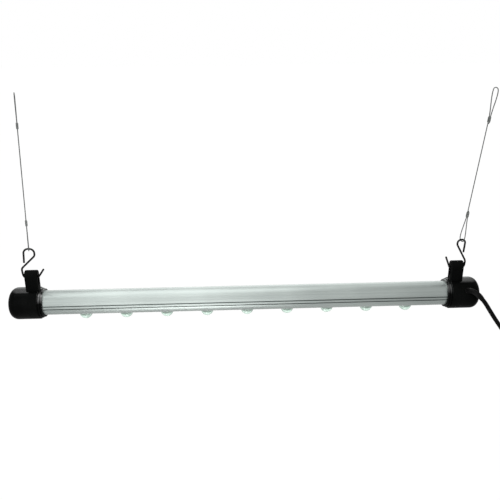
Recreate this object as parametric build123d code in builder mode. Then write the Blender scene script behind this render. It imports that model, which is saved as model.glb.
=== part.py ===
from build123d import *
import os
from math import asin, cos, degrees, pi, radians, sin, sqrt, tan

# Hanging LED grow light bar. Millimetres and degrees, +Z up, X along the bar, -Y towards the viewer.
# The origin lies midway between the two loops that the ceiling hooks carry.
os.makedirs("parts", exist_ok=True)

# Aluminium housing
tube_radius = 15.5
tube_wall = 1.6
tube_half = 272.0
shelf_top = -4.1
shelf_thickness = 1.5
groove_angles = (9.0, -6.0)
groove_width = 1.3
groove_depth = 0.9
flute_angles = (24.0, 33.0, 42.0)
flute_depth = 0.3
screw_port_y = 9.2
screw_port_z = 7.6
screw_port_radius = 2.4
screw_radius = 1.25
opening_width = 21.0

# Lens cover, lenses and light engine
cover_gap = 0.1
tongue_width = 22.4
tongue_thickness = 1.2
lens_count = 9
lens_pitch_share = 0.19
lens_radius = 8.2
lens_centre = 15.25
lens_flange_radius = 9.2
lens_flange_thickness = 1.2
lens_well_radius = 3.9
lens_well_depth = 4.0
board_width = 19.8
board_thickness = 1.6
board_margin = 6.0
led_side = 5.0
led_height = 1.6
led_dome_radius = 1.4
seat_gap = 0.05

# Driver in the upper half of the housing
tray_width = 21.0
tray_margin = 11.0
tray_thickness = 0.8
tray_lip = 4.0
driver_inset = 112.0
driver_width = 17.6
driver_length = 150.0
driver_standoff = 1.2
driver_thickness = 1.6
transformer_size = (17.0, 12.0, 10.0)
transformer_x = 28.0
capacitor_radius = 4.6
capacitor_length = 20.0
capacitor_x = -22.0
choke_radius = 5.2
choke_hole = 2.2
choke_height = 6.0
choke_x = 60.0
switch_size = (4.6, 10.2, 9.0)
switch_x = 4.0
rectifier_size = (6.4, 9.0, 4.2)
rectifier_x = 48.0

# End plates, caps and seals
plate_thickness = 2.0
plate_inset = 0.2
plate_hole_radius = 3.0
plate_hole_z = 1.2
screw_head_radius = 2.1
screw_head_height = 1.2
screw_length = 9.0
cap_reach = 28.0
cap_radius = 20.25
cap_round = 10.0
cap_dome = 1.6
cap_bore_gap = 0.05
cap_chamber_radius = 14.4
cap_end_wall = 6.5
plate_gap = 0.3
cap_overlap = 16.4
mouth_radius = 17.9
mouth_length = 2.2
neck_groove = 0.7
neck_groove_depth = 0.9
ridge_radius = 19.0
ridge_length = 1.5
neck_length = 5.6
body_chamfer = 0.5
seal_section = 0.8
seal_inset = 5.0
seal_groove_gap = 0.15

# Rubber hanger straps on the caps
hanger_inset = 5.0
band_width = 9.6
band_depth = 1.25
band_gap = 0.1
tab_width = 16.0
tab_half_depth = 5.6
tab_top = 46.5
tab_corner = 1.5
tab_splay = 1.0
tab_tuck = 0.3
eye_radius = 3.4
eye_top = 39.1
eye_height = 12.8

# S-hooks, seen from the front, in distance outwards from the hanger and height above the bar's axis
hook_wire = 1.15
hook_top = 76.0
hook_foot = 36.0
hook_routes = {
    "left": (
        (6.4, 57.2),
        (4.3, hook_top),
        (-8.1, hook_top),
        (-8.0, 66.6),
        (10.8, 49.2),
        (10.1, hook_foot),
        (-7.4, hook_foot),
        (-16.0, 48.0),
    ),
    "right": (
        (6.0, 58.4),
        (6.2, hook_top),
        (-3.4, hook_top),
        (-3.4, 69.2),
        (10.2, 46.5),
        (9.9, hook_foot),
        (-8.2, hook_foot),
        (-15.4, 52.5),
    ),
}
hook_bends = {
    "left": (6.3, 5.3, 6.0, 6.0, 5.0, 5.0),
    "right": (4.7, 4.5, 5.0, 8.0, 5.0, 5.0),
}
loop_shift = {"left": -2.1, "right": 1.3}

# Steel hanging wires, seen from the side, in depth and height over each loop's far end
wire_radius = 0.6
wire_gap = 0.25
wire_lean = {"left": 4.6, "right": 3.0}
loop_turn = {"left": 20.0, "right": 17.0}
hang_drop = 262.0
strand_shift = 0.68
loop_route = ((5.45, 2.58), (0.0, -0.96), (-5.45, 2.58))
loop_bend = 4.5
ferrule_start = 32.5
ferrule_length = 6.8
ferrule_lead = 1.0
ferrule_bend = 10.0
ferrule_width = 3.9
ferrule_depth = 2.6
ferrule_edge = 0.6
ferrule_bore_gap = 0.05
tail_length = 1.6

# Cord gland and boot on the right cap
gland_reach = 8.5
gland_rise = 35.5
gland_stem_radius = 3.4
gland_flange_radius = 4.0
gland_flange_height = 1.8
gland_seat = 19.4
gland_seat_radius = 4.4
gland_hole_gap = 0.1
gland_stem_end = 10.4
nut_seat = 13.1
nut_across = 9.0
nut_height = 2.5
boot_radius = 3.3
boot_start = 2.0
boot_bend = 9.3
boot_tip_radius = 2.95
boot_tip_length = 5.0
cord_out_lean = 42.0

# Power cord, its coil and its plug, from the bar's middle
cord_radius = 2.75
cord_first_run = 7.0
cord_route = (
    (306.0, -31.2, -9.2),
    (317.5, -31.8, -25.5),
    (330.5, -32.6, -42.5),
    (345.5, -33.4, -59.0),
    (361.0, -34.2, -75.5),
    (373.0, -34.8, -94.5),
    (378.3, -35.0, -115.5),
)
coil_entry = (379.0, -35.0, -135.5)
coil_radius = 41.6
coil_pitch = 6.0
coil_full_turns = 6
entry_radius = 25.0
tie_angle = 48.0
tie_width = 10.0
tie_thickness = 1.2
tie_clearance = 0.9
tie_corner = 3.0
plug_boot_length = 20.0
plug_boot_radius = 4.4
plug_width = 35.3
plug_depth = 13.7
plug_length = 33.0
plug_corner = 5.0
plug_edge = 1.2
pin_radius = 2.0
pin_length = 19.0
pin_spacing = 18.6
pin_root = 6.0
pin_root_radius = 1.6
pin_shoulder = 0.4

# Leads inside the bar. The mains leads' places count from the housing's end, and the light engine's
# from the end of the driver's tray.
lead_radius = 0.8
lead_hole_reach = 8.5
mains_routes = (
    (
        (7.4, -9.0, 5.2),
        (7.4, -4.0, 2.3),
        (4.0, -1.3, 1.3),
        (-4.0, -1.1, 1.1),
        (-18.0, -1.1, 1.2),
        (-32.0, -1.1, 0.4),
        (-44.0, -1.1, 0.35),
    ),
    (
        (9.6, -9.0, 5.2),
        (9.6, -2.4, 1.4),
        (5.0, 1.0, 1.0),
        (-4.0, 1.1, 1.1),
        (-18.0, 1.1, 1.2),
        (-32.0, 1.1, 0.4),
        (-44.0, 1.1, 0.35),
    ),
)
led_routes = (
    (
        (17.0, -1.1, 0.35),
        (6.5, -1.1, 0.36),
        (-3.0, -1.1, -0.1),
        (-8.0, -1.1, -1.9),
        (-8.5, -1.1, -5.5),
    ),
    (
        (17.0, 1.1, 0.35),
        (6.5, 1.1, 0.36),
        (-3.0, 1.1, -0.1),
        (-8.0, 1.1, -1.9),
        (-8.5, 1.1, -5.5),
    ),
)
lead_hole_radius = 3.0

overrun = 1.0
tray_length = driver_length + 2 * tray_margin
driver_x = tube_half - driver_inset
tray_end = driver_x - tray_length / 2
lead_hole_x = tray_end - lead_hole_reach
cap_end = tube_half + cap_reach
mouth_start = tube_half - cap_overlap
body_start = mouth_start + neck_length
seal_x = tube_half - seal_inset
hanger_x = tube_half - hanger_inset
gland_x = tube_half + gland_reach
wire_rise = hang_drop - hook_top + hook_wire + wire_gap + 2 * wire_radius
loop_leans = sum(wire_rise * tan(radians(lean)) for lean in wire_lean.values())
bar_x = -(loop_leans + loop_shift["right"] - loop_shift["left"]) / 2
bar_z = -hang_drop
bar_axis = Axis((bar_x, 0, bar_z), (1, 0, 0))
sides = (("left", -1), ("right", 1))
lens_pitch = lens_pitch_share * tube_half
lens_places = [(n - (lens_count - 1) / 2) * lens_pitch for n in range(lens_count)]
board_top = shelf_top - shelf_thickness
board_face = board_top - board_thickness
lens_top = -sqrt((tube_radius - tube_wall - tongue_thickness) ** 2 - lens_flange_radius**2) + seat_gap
plate_seat = tube_half + plate_thickness + plate_gap
tab_foot = sqrt(cap_radius**2 - tab_half_depth**2)
arc_share = 0.45


def save(built, name):
    """Gives a finished piece its name and writes it."""
    built.part.label = name
    export_step(built.part, f"parts/{name}.step")


def at(x, y, z):
    """A point given from the middle of the bar's axis."""
    return Vector(bar_x + x, y, bar_z + z)


def across(x):
    """The plane square to the bar at x, with depth and height as its own axes."""
    return Plane(origin=at(x, 0, 0), x_dir=(0, 1, 0), z_dir=(1, 0, 0))


def above(z):
    """The level plane at a height above the bar's axis."""
    return Plane(origin=at(0, 0, z), x_dir=(1, 0, 0), z_dir=(0, 0, 1))


def along(side=1):
    """The upright plane through the bar's axis, with its own first axis pointing outwards on that side."""
    return Plane(origin=at(0, 0, 0), x_dir=(side, 0, 0), z_dir=(0, -side, 0))


def turn_at(before, corner, after):
    """The angle by which a route turns at a point, in degrees."""
    return (corner - before).get_angle(after - corner)


def bend_radii(points):
    """The largest tangent arc that the runs on both sides of each point allow."""
    radii = []
    for before, corner, after in zip(points, points[1:], points[2:]):
        run = min((corner - before).length, (after - corner).length)
        radii.append(arc_share * run / tan(radians(turn_at(before, corner, after) / 2)))
    return radii


def report_tube(name, built, path, radius, radii):
    """Prints a tube's bends and how its volume compares with its section times its length."""
    length = path.wire().length
    share = built.part.volume / (pi * radius**2 * length)
    bends = " ".join(f"{r:.0f}" for r in radii)
    print(f"{name}: {length:.0f} long, volume share {share:.4f}, radii {bends}")
    return length


# Housing: one aluminium extrusion with a shelf across it, open below for the lens cover
with BuildPart() as housing:
    with BuildSketch(across(-tube_half)):
        Circle(tube_radius)
        Circle(tube_radius - tube_wall, mode=Mode.SUBTRACT)
        with Locations((0, shelf_top - shelf_thickness / 2)):
            Rectangle(2 * (tube_radius - tube_wall), shelf_thickness)
        with Locations((-screw_port_y, screw_port_z), (screw_port_y, screw_port_z)):
            Circle(screw_port_radius)
            Circle(screw_radius, mode=Mode.SUBTRACT)
        with Locations((0, -tube_radius)):
            Rectangle(opening_width, 2 * (tube_radius + shelf_top - shelf_thickness), mode=Mode.SUBTRACT)
        for angle in groove_angles:
            for turned in (angle, 180 - angle):
                with Locations(Rot(0, 0, turned) * Pos(tube_radius, 0)):
                    Rectangle(2 * groove_depth, groove_width, mode=Mode.SUBTRACT)
        for mirrored in (1, -1):
            rim = [
                (mirrored * tube_radius * cos(radians(a)), tube_radius * sin(radians(a)))
                for a in flute_angles
            ]
            middle = (tube_radius - flute_depth) / tube_radius
            with BuildLine():
                ThreePointArc(rim[0], (rim[1][0] * middle, rim[1][1] * middle), rim[2])
                ThreePointArc(rim[2], (rim[1][0] / middle, rim[1][1] / middle), rim[0])
            make_face(mode=Mode.SUBTRACT)
    extrude(amount=2 * tube_half)
    with BuildSketch(above(shelf_top)):
        with Locations((lead_hole_x, 0)):
            Circle(lead_hole_radius)
    extrude(amount=-shelf_thickness, mode=Mode.SUBTRACT)
save(housing, "housing")

# Lens cover: a strip that closes the opening, with a tongue each side behind the housing's edges
with BuildPart() as lens_cover:
    for width, radius in (
        (opening_width - 2 * cover_gap, tube_radius),
        (tongue_width, tube_radius - tube_wall - seat_gap),
    ):
        with BuildSketch(across(-tube_half)):
            Circle(radius)
            Circle(tube_radius - tube_wall - tongue_thickness, mode=Mode.SUBTRACT)
            with Locations((0, -tube_radius)):
                Rectangle(width, 2 * tube_radius, mode=Mode.INTERSECT)
        extrude(amount=2 * tube_half)
    with BuildSketch(above(0)):
        with Locations([(x, 0) for x in lens_places]):
            Circle(lens_radius + cover_gap)
    extrude(amount=-tube_radius - overrun, mode=Mode.SUBTRACT)
save(lens_cover, "lens_cover")

# Lenses: clear domes with a flange inside the cover and a well over each emitter
for number, x in enumerate(lens_places, start=1):
    with BuildPart() as lens:
        with BuildSketch(Plane(origin=at(x, 0, 0), x_dir=(1, 0, 0), z_dir=(0, -1, 0))):
            with BuildLine():
                top = lens_top + lens_flange_thickness
                Polyline(
                    (0, -lens_centre - lens_radius),
                    (0, top - lens_well_depth),
                    (lens_well_radius, top - lens_well_depth),
                    (lens_well_radius, top),
                    (lens_flange_radius, top),
                    (lens_flange_radius, lens_top),
                    (lens_radius, lens_top),
                    (lens_radius, -lens_centre),
                )
                CenterArc((0, -lens_centre), lens_radius, 0, -90)
            make_face()
        revolve(axis=Axis(at(x, 0, 0), (0, 0, 1)))
    save(lens, f"lens_{number}")

# Light engine: an aluminium-core board under the shelf with one emitter over each lens
with BuildPart() as led_board:
    with BuildSketch(above(board_top)):
        Rectangle(2 * (tube_half - board_margin), board_width)
        with Locations([(x + lens_pitch / 2, 0) for x in lens_places[:-1]]):
            Circle(screw_radius, mode=Mode.SUBTRACT)
    extrude(amount=-board_thickness)
save(led_board, "led_board")

for number, x in enumerate(lens_places, start=1):
    with BuildPart() as emitter:
        with BuildSketch(above(board_face)):
            with Locations((x, 0)):
                Rectangle(led_side, led_side)
        extrude(amount=-led_height)
        with Locations(at(x, 0, board_face - led_height)):
            Sphere(led_dome_radius)
    save(emitter, f"led_emitter_{number}")

with BuildPart() as board_screws:
    with BuildSketch(above(board_face)):
        with Locations([(x + lens_pitch / 2, 0) for x in lens_places[:-1]]):
            Circle(screw_head_radius)
    extrude(amount=-screw_head_height)
    with BuildSketch(above(board_face)):
        with Locations([(x + lens_pitch / 2, 0) for x in lens_places[:-1]]):
            Circle(screw_radius - seat_gap)
    extrude(amount=board_thickness)
save(board_screws, "board_screws")

# Driver: an insulating tray on the shelf, a board on its standoffs and the parts soldered to it
tray_base = shelf_top
driver_base = tray_base + tray_thickness + driver_standoff
driver_top = driver_base + driver_thickness
with BuildPart() as driver_tray:
    with BuildSketch(above(tray_base)):
        with Locations((driver_x, 0)):
            Rectangle(tray_length, tray_width)
    extrude(amount=tray_lip)
    with BuildSketch(above(tray_base + tray_thickness)):
        with Locations((driver_x, 0)):
            Rectangle(tray_length + overrun, tray_width - 2 * tray_thickness)
    extrude(amount=tray_lip, mode=Mode.SUBTRACT)
    with BuildSketch(above(tray_base + tray_thickness)):
        with Locations((driver_x, 0)):
            with GridLocations(driver_length - driver_width, driver_width / 2, 2, 2):
                Circle(screw_radius)
    extrude(amount=driver_standoff)
save(driver_tray, "driver_tray")

with BuildPart() as driver_board:
    with BuildSketch(above(driver_base)):
        with Locations((driver_x, 0)):
            Rectangle(driver_length, driver_width)
    extrude(amount=driver_thickness)
save(driver_board, "driver_board")

with BuildPart() as transformer:
    with BuildSketch(above(driver_top)):
        with Locations((driver_x + transformer_x, 0)):
            Rectangle(transformer_size[0], transformer_size[1])
    extrude(amount=transformer_size[2])
    chamfer(transformer.edges().filter_by(Axis.X).group_by(Axis.Z)[-1], transformer_size[2] / 4)
save(transformer, "driver_transformer")

with BuildPart() as capacitor:
    with BuildSketch(across(driver_x + capacitor_x)):
        with Locations((0, driver_top + capacitor_radius)):
            Circle(capacitor_radius)
    extrude(amount=capacitor_length)
    chamfer(capacitor.edges().filter_by(GeomType.CIRCLE), capacitor_radius / 8)
save(capacitor, "driver_capacitor")

with BuildPart() as choke:
    with BuildSketch(above(driver_top)):
        with Locations((driver_x + choke_x, 0)):
            Circle(choke_radius)
            Circle(choke_hole, mode=Mode.SUBTRACT)
    extrude(amount=choke_height)
    fillet(choke.edges().filter_by(GeomType.CIRCLE), choke_hole / 2)
save(choke, "driver_choke")

for name, size, x in (
    ("driver_switch", switch_size, switch_x),
    ("driver_rectifier", rectifier_size, rectifier_x),
):
    with BuildPart() as block:
        with BuildSketch(above(driver_top)):
            with Locations((driver_x + x, 0)):
                Rectangle(size[0], size[1])
        extrude(amount=size[2])
        chamfer(block.edges().group_by(Axis.Z)[-1], size[2] / 8)
    save(block, name)

# Ends of the housing: a plate with two screws, a rubber seal ring and the cap over them
for word, side in sides:
    with BuildPart() as plate:
        with BuildSketch(across(side * tube_half)):
            Circle(tube_radius - plate_inset)
            with Locations((-screw_port_y, screw_port_z), (screw_port_y, screw_port_z)):
                Circle(screw_radius, mode=Mode.SUBTRACT)
            if side > 0:
                with Locations((0, plate_hole_z)):
                    Circle(plate_hole_radius, mode=Mode.SUBTRACT)
        extrude(amount=side * plate_thickness)
    save(plate, f"end_plate_{word}")

    with BuildPart() as plate_screws:
        for first, length, radius in (
            (tube_half + plate_thickness, -screw_length, screw_radius - seat_gap),
            (tube_half + plate_thickness, screw_head_height, screw_head_radius),
        ):
            with BuildSketch(across(side * first)):
                with Locations((-screw_port_y, screw_port_z), (screw_port_y, screw_port_z)):
                    Circle(radius)
            extrude(amount=side * length)
    save(plate_screws, f"end_plate_screws_{word}")

    with BuildPart() as seal:
        with BuildSketch(along(side)):
            with Locations((seal_x, tube_radius + seat_gap + seal_section)):
                Circle(seal_section)
        revolve(axis=bar_axis)
    save(seal, f"cap_seal_{word}")

    bore = tube_radius + cap_bore_gap
    mouth_end = mouth_start + mouth_length
    ridge_start = mouth_end + neck_groove
    ridge_end = ridge_start + ridge_length
    band_start = hanger_x - band_width / 2 - band_gap
    band_end = hanger_x + band_width / 2 + band_gap
    band_floor = cap_radius - band_depth
    with BuildPart() as cap:
        with BuildSketch(along(side)):
            with BuildLine():
                Polyline(
                    (cap_end, 0),
                    (cap_end - cap_end_wall, 0),
                    (cap_end - cap_end_wall, cap_chamber_radius),
                    (plate_seat, cap_chamber_radius),
                    (plate_seat, bore),
                    (mouth_start, bore),
                    (mouth_start, mouth_radius),
                    (mouth_end, mouth_radius),
                    (mouth_end, mouth_radius - neck_groove_depth),
                    (ridge_start, mouth_radius - neck_groove_depth),
                    (ridge_start, ridge_radius),
                    (ridge_end, ridge_radius),
                    (ridge_end, ridge_radius - neck_groove_depth),
                    (body_start - body_chamfer, ridge_radius - neck_groove_depth),
                    (body_start, cap_radius),
                    (band_start, cap_radius),
                    (band_start, band_floor),
                    (band_end, band_floor),
                    (band_end, cap_radius),
                    (cap_end - cap_round - cap_dome, cap_radius),
                )
                RadiusArc(
                    (cap_end - cap_round - cap_dome, cap_radius),
                    (cap_end - cap_dome, cap_radius - cap_round),
                    cap_round,
                )
                RadiusArc(
                    (cap_end - cap_dome, cap_radius - cap_round),
                    (cap_end, 0),
                    ((cap_radius - cap_round) ** 2 + cap_dome**2) / (2 * cap_dome),
                )
            make_face()
        revolve(axis=bar_axis)
        with BuildSketch(along(side)):
            with Locations((seal_x, bore)):
                Rectangle(
                    2 * (seal_section + seal_groove_gap),
                    2 * (2 * seal_section + seal_groove_gap),
                )
        revolve(axis=bar_axis, mode=Mode.SUBTRACT)
        if side > 0:
            outwards = Plane(
                origin=at(gland_x, 0, 0),
                x_dir=(1, 0, 0),
                z_dir=(0, -cos(radians(gland_rise)), sin(radians(gland_rise))),
            )
            with BuildSketch(outwards):
                Circle(gland_stem_radius + gland_hole_gap)
            extrude(amount=cap_radius + overrun, mode=Mode.SUBTRACT)
            with BuildSketch(outwards.offset(gland_seat)):
                Circle(gland_seat_radius)
            extrude(amount=cap_radius, mode=Mode.SUBTRACT)
    save(cap, f"end_cap_{word}")

# Hanger straps: a rubber band in the cap's groove that rises into a thick eye for the hook
for word, side in sides:
    with BuildPart() as hanger:
        with BuildSketch(across(side * hanger_x - tab_width)):
            with BuildLine():
                Polyline(
                    (-tab_half_depth, tab_top - tab_half_depth),
                    (-tab_half_depth, tab_foot),
                    (tab_half_depth, tab_foot),
                    (tab_half_depth, tab_top - tab_half_depth),
                )
                ThreePointArc(
                    (tab_half_depth, tab_top - tab_half_depth),
                    (0, tab_top),
                    (-tab_half_depth, tab_top - tab_half_depth),
                )
            make_face()
        extrude(amount=2 * tab_width)
        with BuildSketch(along(side)):
            with BuildLine():
                Polyline(
                    (hanger_x + tab_splay - tab_width / 2, tab_foot),
                    (hanger_x + tab_splay + tab_width / 2, tab_foot),
                    (hanger_x - tab_tuck + tab_width / 2, tab_top),
                    (hanger_x - tab_tuck - tab_width / 2, tab_top),
                    close=True,
                )
            make_face()
        extrude(amount=tab_half_depth, both=True, mode=Mode.INTERSECT)
        fillet(hanger.faces().sort_by(Axis.Z)[-1].edges(), tab_corner)
        with BuildSketch(across(side * hanger_x - band_width / 2)):
            Circle(cap_radius)
        extrude(amount=band_width)
        with BuildSketch(across(side * hanger_x - tab_width)):
            with Locations(Pos(0, eye_top - eye_height / 2) * Rot(0, 0, 90)):
                SlotOverall(eye_height, 2 * eye_radius)
        extrude(amount=2 * tab_width, mode=Mode.SUBTRACT)
        with BuildSketch(across(side * hanger_x - tab_width)):
            Circle(cap_radius + band_gap)
        extrude(amount=tab_width - band_width / 2, mode=Mode.SUBTRACT)
        with BuildSketch(across(side * hanger_x + tab_width)):
            Circle(cap_radius + band_gap)
        extrude(amount=band_width / 2 - tab_width, mode=Mode.SUBTRACT)
        with BuildSketch(across(side * hanger_x - tab_width)):
            Circle(cap_radius - band_depth + band_gap)
        extrude(amount=2 * tab_width, mode=Mode.SUBTRACT)
    save(hanger, f"hanger_strap_{word}")

# S-hooks: bent from black steel wire, each a little different, as hand-bent hooks are
for word, side in sides:
    with BuildPart() as hook:
        with BuildLine(along(side)) as bends:
            FilletPolyline(*[(hanger_x + u, z) for u, z in hook_routes[word]], radius=hook_bends[word])
        with BuildSketch(Plane(origin=bends.line @ 0, z_dir=bends.line % 0)):
            Circle(hook_wire)
        sweep(path=bends.line)
        fillet(hook.faces().filter_by(GeomType.PLANE).edges(), hook_wire / 2)
    save(hook, f"s_hook_{word}")

# Hanging wires: one rope each, looped back into a pressed sleeve at both ends
for word, side in sides:
    lean, turn = radians(wire_lean[word]), radians(loop_turn[word])
    foot = at(side * (hanger_x + loop_shift[word]), 0, hook_top - hook_wire - wire_gap - wire_radius)
    upwards = Vector(sin(lean), 0, cos(lean))
    long = wire_rise / cos(lean)
    depthwise = Vector(-sin(turn), cos(turn), 0)
    depthwise = (depthwise - upwards * depthwise.dot(upwards)).normalized()
    rope_plane = Plane(origin=foot, x_dir=depthwise, z_dir=depthwise.cross(upwards))
    tail = ferrule_start + ferrule_length + tail_length
    route = [(-strand_shift, tail), (-strand_shift, ferrule_start - ferrule_lead)]
    route += [(-y, s) for y, s in loop_route]
    route += [(strand_shift, ferrule_start - ferrule_lead)]
    route += [(strand_shift, long - ferrule_start + ferrule_lead)]
    route += [(y, long - s) for y, s in loop_route]
    route += [(-strand_shift, long - ferrule_start + ferrule_lead), (-strand_shift, long - tail)]
    radii = [min(r, ferrule_bend) for r in bend_radii([Vector(y, s) for y, s in route])]
    with BuildPart() as rope:
        with BuildLine(rope_plane) as line:
            FilletPolyline(*route, radius=radii)
        with BuildSketch(Plane(origin=line.line @ 0, z_dir=line.line % 0)):
            Circle(wire_radius)
        sweep(path=line.line)
    save(rope, f"wire_rope_{word}")
    report_tube(f"wire_rope_{word}", rope, line, wire_radius, radii)

    level = Plane(origin=foot, x_dir=depthwise, z_dir=upwards)
    for place, start in (("lower", ferrule_start), ("upper", long - ferrule_start - ferrule_length)):
        with BuildPart() as ferrule:
            with BuildSketch(level.offset(start)):
                SlotOverall(ferrule_width, ferrule_depth)
            extrude(amount=ferrule_length)
            fillet(ferrule.faces().filter_by(GeomType.PLANE).edges(), ferrule_edge)
            with BuildSketch(level.offset(start)):
                with Locations((-strand_shift, 0), (strand_shift, 0)):
                    Circle(wire_radius + ferrule_bore_gap)
            extrude(amount=ferrule_length, mode=Mode.SUBTRACT)
        save(ferrule, f"ferrule_{place}_{word}")

# Cord gland: a bushing through the cap's wall with a flat nut inside it
outwards = Plane(
    origin=at(gland_x, 0, 0),
    x_dir=(1, 0, 0),
    z_dir=(0, -cos(radians(gland_rise)), sin(radians(gland_rise))),
)
with BuildPart() as gland:
    with BuildSketch(outwards.offset(gland_stem_end)):
        Circle(gland_stem_radius)
    extrude(amount=gland_seat - gland_stem_end)
    with BuildSketch(outwards.offset(gland_seat)):
        Circle(gland_flange_radius)
    extrude(amount=gland_flange_height)
    fillet(gland.faces().sort_by(Axis(outwards.origin, outwards.z_dir))[-1].edges(), gland_flange_height / 3)
save(gland, "cord_gland")

with BuildPart() as gland_nut:
    with BuildSketch(outwards.offset(nut_seat - nut_height)):
        RegularPolygon(nut_across / 2, 6, major_radius=False)
        Circle(gland_stem_radius + seat_gap, mode=Mode.SUBTRACT)
    extrude(amount=nut_height)
save(gland_nut, "gland_nut")

# Cord boot: a moulded elbow that turns the cord outwards and down, then tapers to it
boot_from = at(gland_x, 0, 0) + outwards.z_dir * (gland_seat + gland_flange_height)
cord_way = Vector(sin(radians(cord_out_lean)), 0, -cos(radians(cord_out_lean)))
boot_corner = boot_from + outwards.z_dir * boot_start
swing = outwards.z_dir.get_angle(cord_way)
inwards = (cord_way - outwards.z_dir * cord_way.dot(outwards.z_dir)).normalized()
bend_end = (
    boot_corner
    + outwards.z_dir * (boot_bend * sin(radians(swing)))
    + inwards * (boot_bend * (1 - cos(radians(swing))))
)
bend_middle = (
    boot_corner
    + outwards.z_dir * (boot_bend * sin(radians(swing / 2)))
    + inwards * (boot_bend * (1 - cos(radians(swing / 2))))
)
boot_tip = bend_end + cord_way * boot_tip_length
with BuildPart() as boot:
    with BuildLine() as elbow:
        Line(boot_from, boot_corner)
        ThreePointArc(boot_corner, bend_middle, bend_end)
    with BuildSketch(Plane(origin=boot_from, z_dir=outwards.z_dir)):
        Circle(boot_radius)
    sweep(path=elbow.line)
    with BuildSketch(Plane(origin=bend_end, z_dir=cord_way)) as wide:
        Circle(boot_radius)
    with BuildSketch(Plane(origin=boot_tip, z_dir=cord_way)) as narrow:
        Circle(boot_tip_radius)
    loft([wide.sketch, narrow.sketch])
save(boot, "cord_boot")
print("boot tip from the bar's middle:", boot_tip - at(0, 0, 0))

# Power cord: the stretch from the boot out past the bar's end and down to the coil
entry = at(*coil_entry)
cord_points = [boot_tip, boot_tip + cord_way * cord_first_run, *[at(*p) for p in cord_route], entry]
cord_radii = bend_radii(cord_points)
with BuildPart() as power_cord:
    with BuildLine() as line:
        FilletPolyline(*cord_points, radius=cord_radii)
    with BuildSketch(Plane(origin=line.line @ 0, z_dir=line.line % 0)):
        Circle(cord_radius)
    sweep(path=line.line)
save(power_cord, "power_cord")
cord_length = report_tube("power_cord", power_cord, line, cord_radius, cord_radii)

# Coil: the rest of the cord, wound in two layers, hung by its lead, with its end let down to the plug
samples = 1200
entry_angle = degrees(asin(entry_radius / (coil_radius + entry_radius)))
coil_turns = coil_full_turns + (90 - entry_angle) / 360
coil_inner = coil_radius - coil_pitch * coil_turns / 2
lead_in = 2 * cord_radius
coil_drop = coil_radius * cos(radians(entry_angle)) + entry_radius * cos(radians(entry_angle))
coil_centre = entry - Vector(0, 0, lead_in + coil_drop)


def coil_point(turned):
    """A point of the winding after so many degrees from its start."""
    half = 180 * coil_turns
    radius = coil_inner + coil_pitch * abs(turned - half) / 360
    climb = min(max((turned - half) / 180 + 0.5, 0), 1)
    layer = coil_pitch * climb * climb * (3 - 2 * climb)
    angle = radians(entry_angle + turned)
    return coil_centre + Vector(layer, -radius * sin(angle), radius * cos(angle))


def coil_way(turned):
    """The winding's direction after so many degrees from its start."""
    step = 1 / samples
    last = 360 * coil_turns
    if turned <= 0 or turned >= last:
        angle = radians(entry_angle + turned)
        return Vector(0, -cos(angle), -sin(angle))
    return (coil_point(turned + step) - coil_point(turned - step)).normalized()


def biarc(first, first_way, last, last_way):
    """Two arcs that leave one point and reach another in given directions, as three-point arcs."""
    chord, ways = last - first, first_way + last_way
    square = 4 - ways.dot(ways)
    reach = (-2 * chord.dot(ways) + sqrt(4 * chord.dot(ways) ** 2 + 4 * square * chord.dot(chord))) / (
        2 * square
    )
    corners = first + first_way * reach, last - last_way * reach
    joint = (corners[0] + corners[1]) / 2
    arcs = []
    for start, corner, end in ((first, corners[0], joint), (joint, corners[1], last)):
        half_chord = (start + end) / 2
        tangent, side_way = (corner - start).length, corner - half_chord
        bulge = side_way.length * (end - half_chord).length / (tangent + (end - half_chord).length)
        arcs.append((start, half_chord + side_way.normalized() * bulge, end))
    return arcs


quarter_count = round(4 * coil_turns)
stations = [360 * coil_turns * n / quarter_count for n in range(quarter_count + 1)]
coil_start = entry - Vector(0, 0, lead_in)
arc_swing = 90 - entry_angle
entry_middle = coil_start + Vector(
    0,
    -entry_radius * (1 - cos(radians(arc_swing / 2))),
    -entry_radius * sin(radians(arc_swing / 2)),
)
coil_end = coil_point(360 * coil_turns)
plug_lead = coil_end - Vector(0, 0, lead_in)
with BuildPart() as cord_coil:
    with BuildLine() as winding:
        Line(entry, coil_start)
        ThreePointArc(coil_start, entry_middle, coil_point(0))
        for begin, finish in zip(stations, stations[1:]):
            for arc in biarc(coil_point(begin), coil_way(begin), coil_point(finish), coil_way(finish)):
                ThreePointArc(*arc)
        Line(coil_end, plug_lead)
    with BuildSketch(Plane(origin=entry, z_dir=(0, 0, -1))):
        Circle(cord_radius)
    sweep(path=winding.line)
save(cord_coil, "cord_coil")
coil_length = report_tube("cord_coil", cord_coil, winding, cord_radius, [entry_radius, coil_inner])

spots = [winding.wire() @ (n / samples) for n in range(samples + 1)]
apart = int(4 * cord_radius * pi * samples / coil_length)
nearest = min(
    (spots[n] - spots[m]).length for n in range(0, samples, 2) for m in range(n + apart, samples, 2)
)
print(f"coil: {coil_turns:.2f} turns, least gap to itself {nearest - 2 * cord_radius:.2f}")

# Tie: a hook-and-loop band round the bundle of turns
tie_out = Vector(0, -sin(radians(tie_angle)), cos(radians(tie_angle)))
tie_way = Vector(0, -cos(radians(tie_angle)), -sin(radians(tie_angle)))
tie_middle = coil_centre + tie_out * ((coil_radius + coil_inner) / 2) + Vector(coil_pitch / 2, 0, 0)
tie_long = coil_radius - coil_inner + 2 * cord_radius + 2 * tie_clearance
tie_short = coil_pitch + 2 * cord_radius + 2 * tie_clearance
with BuildPart() as cord_tie:
    with BuildSketch(Plane(origin=tie_middle, x_dir=tie_out, z_dir=tie_way)):
        RectangleRounded(tie_long + 2 * tie_thickness, tie_short + 2 * tie_thickness, tie_corner)
        RectangleRounded(tie_long, tie_short, tie_corner - tie_thickness, mode=Mode.SUBTRACT)
    extrude(amount=tie_width / 2, both=True)
save(cord_tie, "cord_tie")

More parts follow.
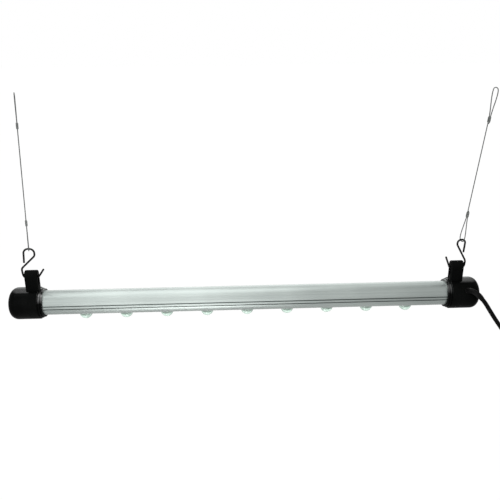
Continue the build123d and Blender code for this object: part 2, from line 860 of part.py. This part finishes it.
# Plug: a flat two-pin plug with a tapered boot, hanging from the coil's end
plug_back = plug_lead - Vector(0, 0, plug_boot_length)
with BuildPart() as plug_boot:
    with BuildSketch(Plane(origin=plug_lead, x_dir=(1, 0, 0), z_dir=(0, 0, -1))) as narrow:
        Circle(boot_tip_radius)
    with BuildSketch(Plane(origin=plug_back, x_dir=(1, 0, 0), z_dir=(0, 0, -1))) as wide:
        Circle(plug_boot_radius)
    loft([narrow.sketch, wide.sketch])
save(plug_boot, "plug_boot")

plug_front = plug_back - Vector(0, 0, plug_length)
with BuildPart() as plug_body:
    with BuildSketch(Plane(origin=plug_back, x_dir=(1, 0, 0), z_dir=(0, 0, -1))):
        RectangleRounded(plug_width, plug_depth, plug_corner)
    extrude(amount=plug_length)
    chamfer(plug_body.faces().sort_by(Axis.Z)[-1].edges(), plug_corner - plug_edge)
    fillet(plug_body.faces().sort_by(Axis.Z)[0].edges(), plug_edge)
    with BuildSketch(Plane(origin=plug_front, x_dir=(1, 0, 0), z_dir=(0, 0, 1))):
        with Locations((-pin_spacing / 2, 0), (pin_spacing / 2, 0)):
            Circle(pin_root_radius)
    extrude(amount=pin_root, mode=Mode.SUBTRACT)
save(plug_body, "plug_body")

with BuildPart() as plug_pins:
    for drop, length, radius in (
        (-pin_root, pin_root + pin_shoulder, pin_root_radius),
        (pin_shoulder, pin_length - pin_shoulder, pin_radius),
    ):
        start = plug_front - Vector(0, 0, drop)
        with BuildSketch(Plane(origin=start, x_dir=(1, 0, 0), z_dir=(0, 0, -1))):
            with Locations((-pin_spacing / 2, 0), (pin_spacing / 2, 0)):
                Circle(radius)
        extrude(amount=length)
    fillet(plug_pins.faces().sort_by(Axis.Z)[:2].edges(), pin_radius / 2)
save(plug_pins, "plug_pins")

# Leads inside the bar
for name, routes, end in (("mains_leads", mains_routes, tube_half), ("led_leads", led_routes, tray_end)):
    with BuildPart() as leads:
        for route in routes:
            points = [at(end + x, y, z) for x, y, z in route]
            with BuildLine() as line:
                FilletPolyline(*points, radius=bend_radii(points))
            with BuildSketch(Plane(origin=line.line @ 0, z_dir=line.line % 0)):
                Circle(lead_radius)
            sweep(path=line.line)
    save(leads, name)

print(f"power cord and coil together: {cord_length + coil_length:.0f}")
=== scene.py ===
from math import asin, cos, degrees, pi, radians, sin

import bpy
from mathutils import Matrix, Vector


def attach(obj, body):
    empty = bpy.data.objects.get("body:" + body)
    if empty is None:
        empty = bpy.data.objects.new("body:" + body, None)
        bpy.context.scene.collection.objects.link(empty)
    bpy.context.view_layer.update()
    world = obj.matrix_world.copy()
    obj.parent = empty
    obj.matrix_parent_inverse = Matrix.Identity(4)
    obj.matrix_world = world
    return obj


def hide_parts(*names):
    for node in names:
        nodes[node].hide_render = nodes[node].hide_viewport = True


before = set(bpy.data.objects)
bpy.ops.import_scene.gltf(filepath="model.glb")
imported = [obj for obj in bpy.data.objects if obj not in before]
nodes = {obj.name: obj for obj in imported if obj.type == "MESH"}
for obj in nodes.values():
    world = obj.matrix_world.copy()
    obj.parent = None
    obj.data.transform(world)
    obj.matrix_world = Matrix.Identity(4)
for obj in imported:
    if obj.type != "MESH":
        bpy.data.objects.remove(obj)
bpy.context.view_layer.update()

# The bar's middle. Every size that is measured from it is in millimetres, and at() turns such a
# point into the frame's metres.
MILLI = 0.001
BAR_X, BAR_Z = -14.229, -262.0


def at(x, y, z):
    return Vector((BAR_X + x, y, BAR_Z + z)) * MILLI


# Camera: slightly left of the bar's middle and well above it, looking down, with the field of view
# that the bar's outlines in the picture give.
EYE = at(-25.0, -664.2, 396.3)
YAW, PITCH, ROLL = radians(2.49), radians(26.28), radians(0.15)
SENSOR_MM, LENS_MM = 36.0, 43.2
ahead = Vector((sin(YAW) * cos(PITCH), cos(YAW) * cos(PITCH), -sin(PITCH)))
level = Vector((cos(YAW), -sin(YAW), 0.0))
down = ahead.cross(level)
rightwards = level * cos(ROLL) + down * sin(ROLL)
downwards = down * cos(ROLL) - level * sin(ROLL)
camera = bpy.data.objects.new("camera", bpy.data.cameras.new("camera"))
camera.data.sensor_width = SENSOR_MM
camera.data.lens = LENS_MM
camera.matrix_world = Matrix((rightwards, -downwards, -ahead)).transposed().to_4x4()
camera.matrix_world.translation = EYE
bpy.context.collection.objects.link(camera)
bpy.context.scene.camera = camera
bpy.context.scene.view_settings.view_transform = "Standard"


# Finishes: a finish is one Principled shader and the nodes that feed it. Socket turns Python's own
# operators into Math nodes, and node() adds any other node.
class Socket:
    def __init__(self, finish, link):
        self.finish, self.link = finish, link

    def maths(self, operation, *values):
        return self.finish.node("ShaderNodeMath", {"operation": operation}, *values)

    def __add__(self, other):
        return self.maths("ADD", self, other)

    def __sub__(self, other):
        return self.maths("SUBTRACT", self, other)

    def __rsub__(self, other):
        return self.maths("SUBTRACT", other, self)

    def __mul__(self, other):
        return self.maths("MULTIPLY", self, other)


class Finish:
    def __init__(self, name, **fixed):
        self.material = bpy.data.materials.new(name)
        self.material.use_nodes = True
        self.tree = self.material.node_tree
        self.shader = self.tree.nodes["Principled BSDF"]
        self.feed(**fixed)

    def put(self, socket, value):
        if isinstance(value, Socket):
            self.tree.links.new(value.link, socket)
        else:
            socket.default_value = value

    def feed(self, **values):
        for name, value in values.items():
            self.put(self.shader.inputs[name.replace("_", " ")], value)

    def node(self, kind, settings=None, *places, output=0, **named):
        made = self.tree.nodes.new(kind)
        for name, value in (settings or {}).items():
            setattr(made, name, value)
        for place, value in [*enumerate(places), *named.items()]:
            key = place.replace("_", " ") if isinstance(place, str) else place
            self.put(made.inputs[key], value)
        return Socket(self, made.outputs[output])

    def place(self, x=1.0, y=1.0, z=1.0):
        """Object coordinates, stretched."""
        spot = self.node("ShaderNodeTexCoord", output="Object")
        return self.node("ShaderNodeMapping", None, Vector=spot, Scale=(x, y, z))

    def noise(self, scale, detail=2.0, spot=None, roughness=0.5):
        spot = spot or self.place()
        return self.node(
            "ShaderNodeTexNoise", None, Vector=spot, Scale=scale, Detail=detail, Roughness=roughness
        )

    def wave(self, direction, scale, distortion=0.0):
        """Bands square to one axis, from 0 to 1."""
        return self.node(
            "ShaderNodeTexWave",
            {"bands_direction": direction},
            Vector=self.place(),
            Scale=scale,
            Distortion=distortion,
            output=1,
        )

    def spread(self, value, low, high, least=0.0, most=1.0):
        """A value's range from low to high turned into the range from least to most."""
        return self.node("ShaderNodeMapRange", None, value, low, high, least, most)

    def mix(self, share, first, second):
        """A colour between two colours, by a mask."""
        made = self.tree.nodes.new("ShaderNodeMix")
        made.data_type = "RGBA"
        for number, value in ((0, share), (6, first), (7, second)):
            self.put(made.inputs[number], value)
        return Socket(self, made.outputs[2])

    def bump(self, height, depth, strength=1.0):
        """Relief of a depth in millimetres."""
        return self.node("ShaderNodeBump", None, Height=height, Distance=depth * MILLI, Strength=strength)


def wear(finish, *names):
    """Gives a finish to CAD nodes."""
    for name in names:
        for slot in nodes[name].material_slots:
            slot.material = finish.material


def grey(value, green=1.0):
    """A grey that leans to green by a factor."""
    return (value, value * green, value * (1 + green) / 2, 1.0)


# Stage: a pale floor far below the hanging bar, a white surround, and soft lamps. The floor's sizes
# are in metres.
FLOOR_DROP, FLOOR_HALF = 0.95, 6.0
FLOOR_GLOW, FLOOR_SHARE = 1.06, 0.93
floor_mesh = bpy.data.meshes.new("floor")
corners = [(-1, -1), (1, -1), (1, 1), (-1, 1)]
floor_points = [(x * FLOOR_HALF, y * FLOOR_HALF, -FLOOR_DROP) for x, y in corners]
floor_mesh.from_pydata(floor_points, [], [(0, 1, 2, 3)])
floor = bpy.data.objects.new("floor", floor_mesh)
bpy.context.collection.objects.link(floor)
pale = Finish("pale_floor", Base_Color=grey(0.8), Roughness=0.9)
rays = pale.node("ShaderNodeLightPath", output="Is Camera Ray")
glow = pale.node("ShaderNodeEmission", None, Color=grey(1.0), Strength=FLOOR_GLOW)
lit = Socket(pale, pale.shader.outputs[0])
mixed = pale.node("ShaderNodeMixShader", None, rays * FLOOR_SHARE, lit, glow)
pale.tree.links.new(mixed.link, pale.tree.nodes["Material Output"].inputs["Surface"])
floor_mesh.materials.append(pale.material)

# The surround is white to the eye and through the lenses, and gives less light than that: a little
# more in front than behind, and most from the backdrop straight behind the bar.
FRONT_LIGHT, BACK_LIGHT, BACKDROP_LIGHT = 0.46, 0.38, 0.9
FRONT_EDGE, BACK_EDGE, BACKDROP_EDGE, BACKDROP_FULL = -0.3, 0.7, 0.86, 0.98
world = bpy.data.worlds.new("surround")
bpy.context.scene.world = world
world.use_nodes = True


class Surround(Finish):
    """The world's own nodes, with the same way of adding to them."""

    def __init__(self):
        self.tree = world.node_tree
        self.shader = self.tree.nodes["Background"]


surround = Surround()
heading = surround.node("ShaderNodeTexCoord", output="Generated")
depthwise = surround.node("ShaderNodeSeparateXYZ", None, heading, output="Y")
light = surround.spread(depthwise, FRONT_EDGE, BACK_EDGE, FRONT_LIGHT, BACK_LIGHT)
light = light + surround.spread(depthwise, BACKDROP_EDGE, BACKDROP_FULL, 0.0, BACKDROP_LIGHT)
seen = surround.node("ShaderNodeLightPath", output="Is Camera Ray") + surround.node(
    "ShaderNodeLightPath", output="Is Transmission Ray"
)
surround.feed(Color=grey(1.0), Strength=light * (1 - seen) + seen)

for name, place, aim, size, power in (
    ("key_lamp", at(-290, -560, 430), at(-110, 0, 0), 0.6, 0.7),
    ("front_lamp", at(-40, -560, 470), at(-40, 0, 0), 0.8, 0.7),
    ("top_lamp", at(-190, 60, 640), at(-110, 0, 0), 0.65, 1.9),
    ("back_lamp", at(40, 480, 330), at(20, 0, 0), 0.9, 1.4),
    ("low_lamp", at(-150, -560, -80), at(-110, 0, 0), 0.5, 0.9),
    ("under_lamp", at(-100, -300, -360), at(-90, 0, 0), 0.25, 0.6),
):
    lamp = bpy.data.lights.new(name, "AREA")
    lamp.size, lamp.energy = size, power
    holder = bpy.data.objects.new(name, lamp)
    holder.matrix_world = (aim - place).to_track_quat("-Z", "Y").to_matrix().to_4x4()
    holder.matrix_world.translation = place
    bpy.context.collection.objects.link(holder)


# Power cord: a round black lead that leaves the boot on the right cap, drops past the bar's end and
# hangs in a coil of two layers. Its flexible sheath is smooth, with a faint orange-peel.
CORD_RADIUS = 2.75
BOOT_TIP = (293.721, -30.903, 7.359)
CORD_ROUTE = (
    (298.405, -30.903, 2.157),
    (306.0, -31.2, -9.2),
    (317.5, -31.8, -25.5),
    (330.5, -32.6, -42.5),
    (345.5, -33.4, -59.0),
    (361.0, -34.2, -75.5),
    (373.0, -34.8, -94.5),
    (378.3, -35.0, -115.5),
    (379.0, -35.0, -135.5),
)
COIL_RADIUS, COIL_PITCH, COIL_FULL_TURNS = 41.6, 6.0, 6
ENTRY_RADIUS, LEAD_IN = 25.0, 2 * CORD_RADIUS
TURN_POINTS, ENTRY_POINTS = 16, 5
ROUND_STEPS, LINE_STEPS, FINE_LINE_STEPS = 5, 6, 24
entry_angle = degrees(asin(ENTRY_RADIUS / (COIL_RADIUS + ENTRY_RADIUS)))
coil_turns = COIL_FULL_TURNS + (90 - entry_angle) / 360
coil_inner = COIL_RADIUS - COIL_PITCH * coil_turns / 2
entry_x, entry_y, entry_z = CORD_ROUTE[-1]
coil_z = entry_z - LEAD_IN - (COIL_RADIUS + ENTRY_RADIUS) * cos(radians(entry_angle))


def coil_point(turned, outside=1.0):
    """A point of the winding after so many degrees, pushed out so that the line runs at its radius."""
    half = 180 * coil_turns
    radius = (coil_inner + COIL_PITCH * abs(turned - half) / 360) * outside
    climb = min(max((turned - half) / 180 + 0.5, 0), 1)
    layer = COIL_PITCH * climb * climb * (3 - 2 * climb)
    angle = radians(entry_angle + turned)
    return (entry_x + layer, entry_y - radius * sin(angle), coil_z + radius * cos(angle))


def smooth_line(name, points, radius, steps=LINE_STEPS):
    """One smooth line through the frame, as thick as the real thing."""
    curve = bpy.data.curves.new(name, "CURVE")
    curve.dimensions = "3D"
    curve.bevel_depth = radius * MILLI
    curve.bevel_resolution = ROUND_STEPS
    curve.resolution_u = steps
    curve.use_fill_caps = radius > 0
    line = curve.splines.new("NURBS")
    line.points.add(len(points) - 1)
    for point, place in zip(line.points, points):
        point.co = (*place, 1.0)
    line.order_u = 3
    line.use_endpoint_u = True
    made = bpy.data.objects.new(name, curve)
    bpy.context.collection.objects.link(made)
    return made


cord_points = [BOOT_TIP, *CORD_ROUTE, (entry_x, entry_y, entry_z - LEAD_IN)]
entry_swing = 90 - entry_angle
reach = ENTRY_RADIUS / cos(radians(entry_swing / (2 * ENTRY_POINTS)))
for step in range(ENTRY_POINTS):
    angle = radians(entry_swing * (step + 0.5) / ENTRY_POINTS)
    cord_points.append(
        (entry_x, entry_y - ENTRY_RADIUS + reach * cos(angle), entry_z - LEAD_IN - reach * sin(angle))
    )
coil_steps = round(TURN_POINTS * coil_turns)
swing_step = 360 * coil_turns / coil_steps
for step in range(coil_steps):
    cord_points.append(coil_point(swing_step * (step + 0.5), 1 / cos(radians(swing_step / 2))))
coil_end = coil_point(360 * coil_turns)
cord_points.append(coil_end)
cord_points.append((coil_end[0], coil_end[1], coil_end[2] - LEAD_IN))
power_cord = smooth_line("power_cord_sheath", [at(*p) for p in cord_points], CORD_RADIUS)
sheath = Finish("cord_sheath", Specular_IOR_Level=0.08)
scuff = sheath.spread(sheath.noise(90.0, 3.0), 0.4, 0.8)
sheath.feed(
    Base_Color=sheath.mix(scuff, grey(0.002, 1.04), grey(0.007, 1.04)),
    Roughness=sheath.spread(scuff, 0.0, 1.0, 0.4, 0.55),
    Normal=sheath.bump(sheath.noise(900.0, 2.0), 0.05, 0.4),
)
power_cord.data.materials.append(sheath.material)
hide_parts("power_cord", "cord_coil")
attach(power_cord, "light_bar")
at(*BOOT_TIP)


# Hanging wires: one rope of six steel strands on each side, twisted, looped back through a pressed
# sleeve at both ends. The lower loop holds the S-hook and the upper one hangs on the ceiling hook.
ROPE_RADIUS, ROPE_FOOT_Z, ROPE_RISE = 0.6, 74.0, 188.6
ROPES = (("left", -264.9, 4.6, 20.0), ("right", 268.3, 3.0, 17.0))
STRAND_SHIFT, LOOP_NECK, TAIL, NEAR = 0.68, 31.5, 40.9, 8.0
LOOP_ROUTE = ((5.45, 2.58), (0.0, -0.96), (-5.45, 2.58))
LAY, RINGS_PER_LAY, STRANDS, SIDES_PER_STRAND, FURROW = 7.2, 12, 6, 4, 0.17


def along_line(points, step):
    """Evenly spaced points on the smooth line that a route gives."""
    line = smooth_line("route", points, 0.0, FINE_LINE_STEPS)
    mesh = bpy.data.meshes.new_from_object(line)
    spots = [v.co.copy() for v in mesh.vertices]
    bpy.data.objects.remove(line)
    bpy.data.meshes.remove(mesh)
    even, left = [spots[0]], step
    for first, second in zip(spots, spots[1:]):
        run = (second - first).length
        done = left
        while done <= run:
            even.append(first.lerp(second, done / run))
            done += step
        left = done - run
    even.append(spots[-1])
    return even


def twisted_rope(name, path):
    """A closed tube along a path, with one ridge for each strand, that turns as it goes."""
    ring = STRANDS * SIDES_PER_STRAND
    verts, across = [], Vector((1.0, 0.0, 0.0))
    for number, spot in enumerate(path):
        ahead_way = (path[min(number + 1, len(path) - 1)] - path[max(number - 1, 0)]).normalized()
        across = (across - ahead_way * across.dot(ahead_way)).normalized()
        beside = ahead_way.cross(across)
        twist = 2 * pi * number / RINGS_PER_LAY
        for corner in range(ring):
            angle = 2 * pi * corner / ring
            furrow = FURROW * (1 - abs(cos(angle * STRANDS / 2)))
            size = ROPE_RADIUS * MILLI * (1 - furrow)
            verts.append(spot + (across * cos(angle + twist) + beside * sin(angle + twist)) * size)
    faces = [tuple(reversed(range(ring))), tuple(range(len(verts) - ring, len(verts)))]
    for start in range(0, len(verts) - ring, ring):
        for corner in range(ring):
            beyond = (corner + 1) % ring
            faces.append((start + corner, start + beyond, start + ring + beyond, start + ring + corner))
    mesh = bpy.data.meshes.new(name)
    mesh.from_pydata(verts, [], faces)
    made = bpy.data.objects.new(name, mesh)
    bpy.context.collection.objects.link(made)
    return made


steel = Finish("rope_steel", Metallic=0.9)
grime = steel.noise(700.0, 3.0)
steel.feed(
    Base_Color=steel.mix(grime, grey(0.10, 1.04), grey(0.26, 1.04)),
    Roughness=steel.spread(grime, 0.3, 0.7, 0.35, 0.5),
    Normal=steel.bump(steel.noise(2500.0), 0.02, 0.4),
)
for word, foot_x, lean, turn in ROPES:
    foot = Vector((foot_x, 0.0, ROPE_FOOT_Z))
    upwards = Vector((sin(radians(lean)), 0.0, cos(radians(lean))))
    long = ROPE_RISE / cos(radians(lean))
    depthways = Vector((-sin(radians(turn)), cos(radians(turn)), 0.0))
    depthways = (depthways - upwards * depthways.dot(upwards)).normalized()
    route = [(-STRAND_SHIFT, TAIL), (-STRAND_SHIFT, LOOP_NECK)]
    route += [(-y, s) for y, s in LOOP_ROUTE]
    route += [(STRAND_SHIFT, LOOP_NECK), (STRAND_SHIFT, LOOP_NECK + NEAR)]
    route += [(STRAND_SHIFT, long - LOOP_NECK - NEAR), (STRAND_SHIFT, long - LOOP_NECK)]
    route += [(y, long - s) for y, s in LOOP_ROUTE]
    route += [(-STRAND_SHIFT, long - LOOP_NECK), (-STRAND_SHIFT, long - TAIL)]
    route_points = [at(*(foot + upwards * s + depthways * y)) for y, s in route]
    path = along_line(route_points, LAY / RINGS_PER_LAY * MILLI)
    rope = twisted_rope(f"rope_{word}", path)
    rope.data.materials.append(steel.material)
    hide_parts(f"wire_rope_{word}")
    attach(rope, "hanging_wires")

pressed = Finish("pressed_aluminium", Metallic=0.9)
dents = pressed.noise(420.0, 3.0)
pressed.feed(
    Base_Color=pressed.mix(dents, grey(0.13, 1.06), grey(0.3, 1.06)),
    Roughness=pressed.spread(dents, 0.3, 0.7, 0.35, 0.55),
    Normal=pressed.bump(pressed.wave("Z", 260.0) + dents, 0.1, 0.6),
)
wear(pressed, *[f"ferrule_{place}_{word}" for place in ("upper", "lower") for word in ("left", "right")])


# Housing: clear anodised aluminium, extruded and cut to length, with the faint lines that the die
# leaves along it and a satin, slightly cloudy finish.
GROOVE_RIM, GROOVE_FLOOR = 15.1, 14.8
drawn = Finish("drawn_aluminium", Metallic=0.86)
lines = drawn.noise(1.0, 3.0, drawn.place(3.0, 2400.0, 2400.0), 0.65)
cloud = drawn.noise(9.0, 3.0)
depth_y = drawn.node("ShaderNodeSeparateXYZ", None, drawn.place(), output="Y")
height = drawn.node("ShaderNodeSeparateXYZ", None, drawn.place(), output="Z") - BAR_Z * MILLI
square = depth_y * depth_y + height * height
from_axis = square.maths("SQRT", square)
# Painted shade: where the skin dips below the groove's rim towards its floor, the colour turns a dark grey,
# darkening the grooves as shade would.
clear_of_groove_shade = drawn.spread(from_axis, GROOVE_FLOOR * MILLI, GROOVE_RIM * MILLI)
satin = drawn.mix(drawn.spread(lines + cloud, 0.7, 1.3), (0.415, 0.462, 0.445, 1), (0.605, 0.667, 0.638, 1))
drawn.feed(
    Base_Color=drawn.mix(clear_of_groove_shade, (0.09, 0.11, 0.105, 1), satin),
    Roughness=drawn.spread(lines + cloud, 0.6, 1.4, 0.34, 0.46),
    Normal=drawn.bump(lines, 0.03, 0.6),
)
wear(drawn, "housing")


# Lens cover: the light grey extruded strip that closes the housing below. It slides in along the
# housing's slot and has a hole for each lens.
strip = Finish("cover_strip", Specular_IOR_Level=0.4)
strip_lines = strip.noise(1.0, 2.0, strip.place(4.0, 1500.0, 1500.0))
strip.feed(
    Base_Color=strip.mix(strip_lines, grey(0.46, 1.03), grey(0.56, 1.03)),
    Roughness=strip.spread(strip.noise(60.0), 0.3, 0.7, 0.4, 0.52),
    Normal=strip.bump(strip_lines, 0.02, 0.5),
)
wear(strip, "lens_cover")


# Lenses: clear moulded acrylic domes, faintly green, polished on the outside. Each stands through
# its hole in the cover and is held by its flange.
clear = Finish("clear_lens", Base_Color=(0.66, 0.82, 0.73, 1.0), Transmission_Weight=0.8, IOR=1.49)
clear.feed(
    Roughness=clear.spread(clear.noise(40.0), 0.3, 0.8, 0.02, 0.08),
    Normal=clear.bump(clear.noise(160.0), 0.02, 0.3),
)
wear(clear, *[f"lens_{n}" for n in range(1, 10)])


# Light engine: a white solder mask on an aluminium board, yellow emitters soldered to it, one over
# each lens, and zinc-plated screws that hold the board and the end plates.
mask = Finish("solder_mask", Specular_IOR_Level=0.5)
dips = mask.noise(220.0, 3.0)
mask.feed(
    Base_Color=mask.mix(dips, (0.72, 0.72, 0.69, 1), (0.82, 0.82, 0.8, 1)),
    Roughness=mask.spread(dips, 0.3, 0.7, 0.3, 0.42),
    Normal=mask.bump(mask.wave("X", 60.0, 2.0) + dips, 0.03, 0.5),
)
wear(mask, "led_board")

phosphor = Finish("phosphor", Coat_Weight=0.6)
grains = phosphor.noise(2600.0, 3.0)
phosphor.feed(
    Base_Color=phosphor.mix(grains, (0.82, 0.62, 0.16, 1), (0.95, 0.82, 0.36, 1)),
    Roughness=phosphor.spread(grains, 0.3, 0.7, 0.25, 0.5),
    Normal=phosphor.bump(grains, 0.02, 0.5),
)
wear(phosphor, *[f"led_emitter_{n}" for n in range(1, 10)])

zinc = Finish("zinc_plate", Metallic=1.0)
crystals = zinc.noise(800.0, 2.0)
zinc.feed(
    Base_Color=zinc.mix(crystals, (0.42, 0.43, 0.44, 1), (0.6, 0.61, 0.6, 1)),
    Roughness=zinc.spread(crystals, 0.3, 0.7, 0.28, 0.42),
    Normal=zinc.bump(crystals, 0.02, 0.4),
)
wear(zinc, "board_screws", "end_plate_screws_left", "end_plate_screws_right")


# Driver: a folded insulating tray, a green board, and its taped transformer, sleeved capacitor,
# wound ring and two moulded packages, all soldered to the board, which clips into the tray.
def two_tone(name, names, first, second, scale, rough, grain, depth, **fixed):
    """A finish whose colour, gloss and relief vary together, and the nodes that wear it."""
    made = Finish(name, **fixed)
    tone = made.spread(made.noise(scale, 3.0), 0.35, 0.7)
    made.feed(
        Base_Color=made.mix(tone, first, second),
        Roughness=made.spread(tone, 0.0, 1.0, *rough),
        Normal=made.bump(made.noise(grain, 2.0), depth, 0.5),
    )
    wear(made, *names)


MASK_GREENS = ((0.01, 0.09, 0.03, 1), (0.03, 0.2, 0.07, 1))
TAPE_YELLOWS = ((0.6, 0.42, 0.05, 1), (0.78, 0.6, 0.1, 1))
SLEEVE_BLUES = ((0.02, 0.03, 0.06, 1), (0.04, 0.05, 0.1, 1))
PACKAGES = ("driver_switch", "driver_rectifier")
two_tone("insulating_sheet", ["driver_tray"], grey(0.62), grey(0.74), 60.0, (0.5, 0.62), 900.0, 0.02)
two_tone("green_mask", ["driver_board"], *MASK_GREENS, 260.0, (0.3, 0.45), 500.0, 0.03)
two_tone("winding_tape", ["driver_transformer"], *TAPE_YELLOWS, 160.0, (0.35, 0.5), 600.0, 0.05)
two_tone("can_sleeve", ["driver_capacitor"], *SLEEVE_BLUES, 120.0, (0.25, 0.4), 400.0, 0.03)
two_tone("ferrite", ["driver_choke"], grey(0.03), grey(0.08), 900.0, (0.6, 0.8), 1400.0, 0.05)
two_tone("moulded_package", PACKAGES, grey(0.008), grey(0.025), 300.0, (0.45, 0.6), 1500.0, 0.04)


# Leads: stranded wire in smooth extruded insulation, brown from the gland to the driver and red from
# the driver to the emitters' board, soldered at both ends.
MAINS_BROWNS = ((0.09, 0.035, 0.015, 1), (0.14, 0.06, 0.03, 1))
LEAD_REDS = ((0.3, 0.01, 0.01, 1), (0.45, 0.03, 0.025, 1))
two_tone("mains_insulation", ["mains_leads"], *MAINS_BROWNS, 150.0, (0.35, 0.5), 700.0, 0.03)
two_tone("lead_insulation", ["led_leads"], *LEAD_REDS, 150.0, (0.35, 0.5), 700.0, 0.03)


# End plates and seals: plates stamped from mill-finish aluminium, screwed to the housing's ends, and
# a soft silicone ring round each end of the housing, squeezed by the cap.
PLATES = ("end_plate_left", "end_plate_right")
SEALS = ("cap_seal_left", "cap_seal_right")
PLATE_GREYS = (grey(0.4, 1.03), grey(0.58, 1.03))
two_tone("mill_aluminium", PLATES, *PLATE_GREYS, 180.0, (0.35, 0.5), 1500.0, 0.02, Metallic=1.0)
two_tone("silicone_ring", SEALS, grey(0.012), grey(0.03), 300.0, (0.45, 0.6), 1200.0, 0.02)


# Caps: thick moulded rubber pushed over the housing's ends, matt black, with a soft bloom and the
# fine grain of the mould. The ridges of the neck and the crest of the body are rubbed to a gloss.
def black_rubber(name, dark, light, rough, *names):
    """A black that shows little but its bloom, and the nodes that wear it."""
    rubber = Finish(name, Specular_IOR_Level=0.03, Specular_Tint=grey(1.0, 1.12))
    bloom = rubber.spread(rubber.noise(35.0, 4.0), 0.4, 0.75)
    grain = rubber.noise(700.0, 3.0)
    rubber.feed(
        Base_Color=rubber.mix(bloom, grey(dark, 1.04), grey(light, 1.04)),
        Roughness=rubber.spread(bloom + grain, 0.5, 1.4, *rough),
        Normal=rubber.bump(grain, 0.06, 0.4),
    )
    wear(rubber, *names)
    return rubber


NECK_INSIDE, NECK_OUTSIDE, NECK_LOW, NECK_HIGH = 260.9, 261.6, 8.0, 14.0
CREST_LOW, CREST_HIGH, CREST_SHINE = 18.6, 19.8, 0.8
cap_skin = black_rubber("cap_rubber", 0.002, 0.006, (0.3, 0.42), "end_cap_left", "end_cap_right")
along_bar = cap_skin.node("ShaderNodeSeparateXYZ", None, cap_skin.place(), output="X") - BAR_X * MILLI
cap_height = cap_skin.node("ShaderNodeSeparateXYZ", None, cap_skin.place(), output="Z") - BAR_Z * MILLI
from_middle = along_bar.maths("ABSOLUTE", along_bar)
neck_share = cap_skin.spread(from_middle, NECK_INSIDE * MILLI, NECK_OUTSIDE * MILLI, 1.0, 0.0)
neck_top = cap_skin.spread(cap_height, NECK_LOW * MILLI, NECK_HIGH * MILLI)
crest = cap_skin.spread(cap_height, CREST_LOW * MILLI, CREST_HIGH * MILLI, 0.0, CREST_SHINE)
cap_skin.feed(
    Coat_Weight=neck_share * neck_top + (1 - neck_share) * crest,
    Coat_Roughness=0.25,
    Coat_IOR=2.4,
    Coat_Tint=grey(0.8, 1.25),
)


# Hanger straps: the same rubber, a little duller, each a band in the cap's groove and a thick eye.
black_rubber("strap_rubber", 0.0018, 0.006, (0.42, 0.56), "hanger_strap_left", "hanger_strap_right")


# S-hooks: steel wire bent by hand and dipped black, worn to a gloss where it bears.
wire = Finish("hook_coating", Specular_IOR_Level=0.15)
dips = wire.noise(220.0, 3.0)
wire.feed(
    Base_Color=wire.mix(dips, grey(0.003), grey(0.012)),
    Roughness=wire.spread(dips, 0.3, 0.7, 0.28, 0.45),
    Normal=wire.bump(wire.noise(900.0), 0.03, 0.4),
)
wear(wire, "s_hook_left", "s_hook_right")


# Gland, boots and plug: moulded nylon for the gland and its nut, soft rubber moulded round the cord
# for the elbow boot and the plug's boot, a hard shell for the plug, and nickel-plated pins set in it.
GLAND = ("cord_gland", "gland_nut")
BOOTS = ("cord_boot", "plug_boot")
NYLON_GREYS = BOOT_GREYS = (grey(0.002), grey(0.006))
SHELL_GREYS = (grey(0.004), grey(0.014))
NICKEL_GREYS = ((0.5, 0.48, 0.44, 1), (0.68, 0.65, 0.6, 1))
two_tone("moulded_nylon", GLAND, *NYLON_GREYS, 200.0, (0.4, 0.55), 1100.0, 0.03, Specular_IOR_Level=0.1)
two_tone("soft_boot", BOOTS, *BOOT_GREYS, 120.0, (0.42, 0.56), 800.0, 0.05, Specular_IOR_Level=0.1)
two_tone("plug_shell", ["plug_body"], *SHELL_GREYS, 90.0, (0.4, 0.52), 900.0, 0.06, Specular_IOR_Level=0.35)
two_tone("nickel_plate", ["plug_pins"], *NICKEL_GREYS, 500.0, (0.2, 0.34), 1600.0, 0.01, Metallic=1.0)


# Tie: a woven hook-and-loop band round the bundle of turns, black, with its pile raised in rows.
pile = Finish("woven_tie", Sheen_Weight=0.3)
weave = pile.wave("X", 320.0, 1.0) + pile.wave("Z", 320.0, 1.0)
pile.feed(
    Base_Color=pile.mix(pile.spread(weave, 0.3, 1.7), grey(0.004), grey(0.02)),
    Roughness=pile.spread(weave, 0.0, 2.0, 0.75, 0.95),
    Normal=pile.bump(weave, 0.25, 0.8),
)
wear(pile, "cord_tie")
